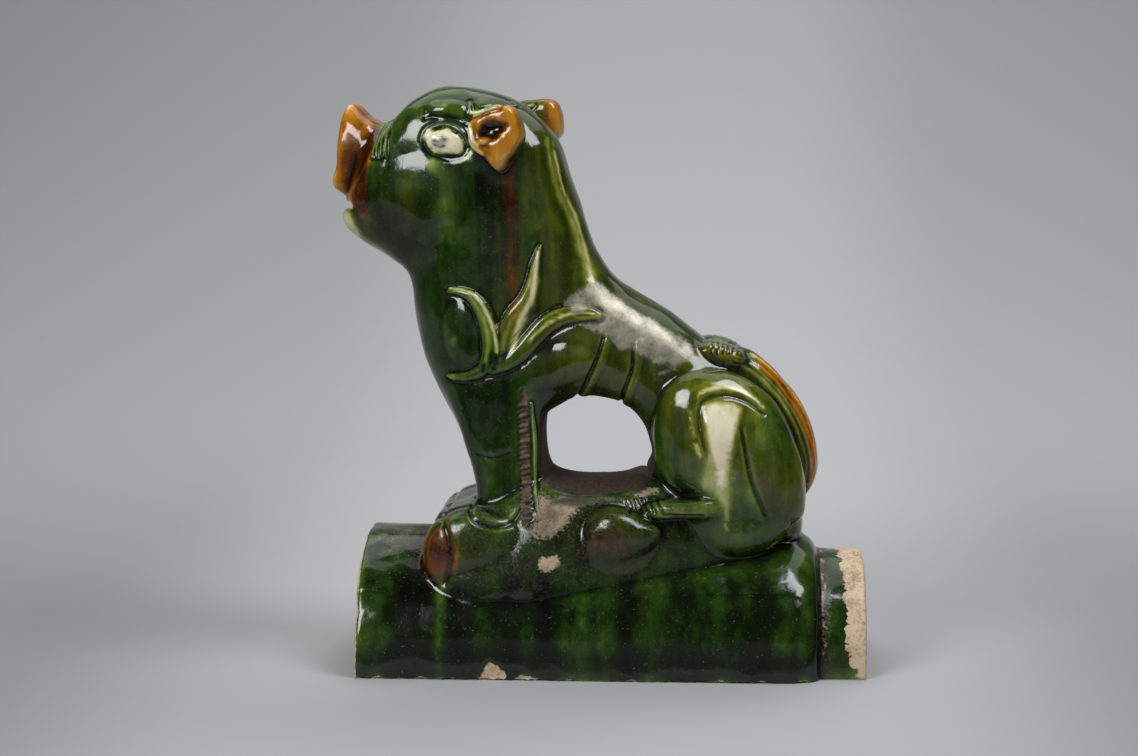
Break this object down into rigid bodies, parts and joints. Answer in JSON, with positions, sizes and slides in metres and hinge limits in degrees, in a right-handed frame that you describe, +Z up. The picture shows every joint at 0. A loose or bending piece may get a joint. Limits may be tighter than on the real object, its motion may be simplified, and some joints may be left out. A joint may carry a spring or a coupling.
{
  "type": "ridge beast ornament",
  "caption": "Seated glazed-clay beast with an upturned snout, made in one with the half-round ridge tile it sits on.",
  "frame": {"origin": "middle of the footprint, on the plane that the tile's two rims stand on", "axes": "+Z up, X along the tile with the beast looking towards -X and the tongue at +X, Y across the tile"},
  "size_m": [0.3089, 0.15, 0.3315],
  "materials": {
    "glazed_clay": "running green lead glaze with amber and cream touches over buff clay, glossy, worn and chipped"
  },
  "bodies": {
    "root": {"ridge_beast": "glazed_clay"}
  },
  "joints": []
}
